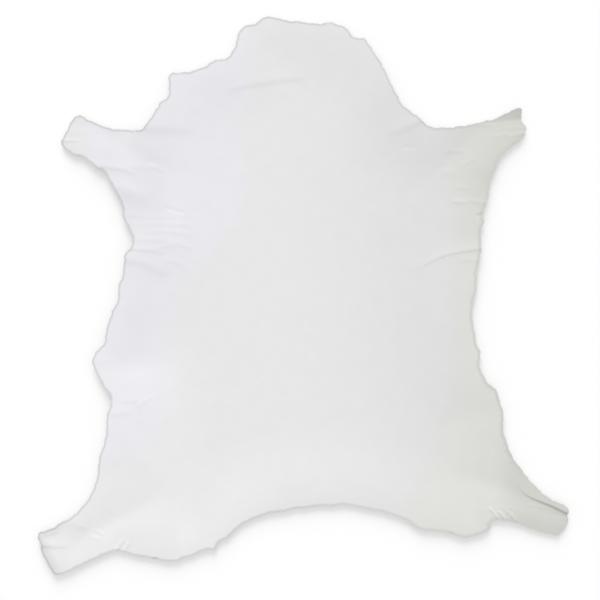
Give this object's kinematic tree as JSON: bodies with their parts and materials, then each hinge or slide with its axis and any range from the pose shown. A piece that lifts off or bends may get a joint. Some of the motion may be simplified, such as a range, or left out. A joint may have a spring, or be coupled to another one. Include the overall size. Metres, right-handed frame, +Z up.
{
  "type": "leather hide",
  "caption": "Whole leather hide lying flat with the grain side up: pale undyed leather with a wavy trimmed edge, neck and shanks, soft creases, a curled fore shank and a tucked hind shank.",
  "frame": {"origin": "The middle of the hide's outer box, on the surface that it rests on", "axes": "+Z up out of the grain side, +Y along the back towards the neck, +X to the right as seen from above with the neck at the top"},
  "size_m": [1.0067, 1.0596, 0.0129],
  "materials": {
    "leather_grain": "matt"
  },
  "bodies": {
    "root": {"leather_hide": "leather_grain"}
  },
  "joints": []
}
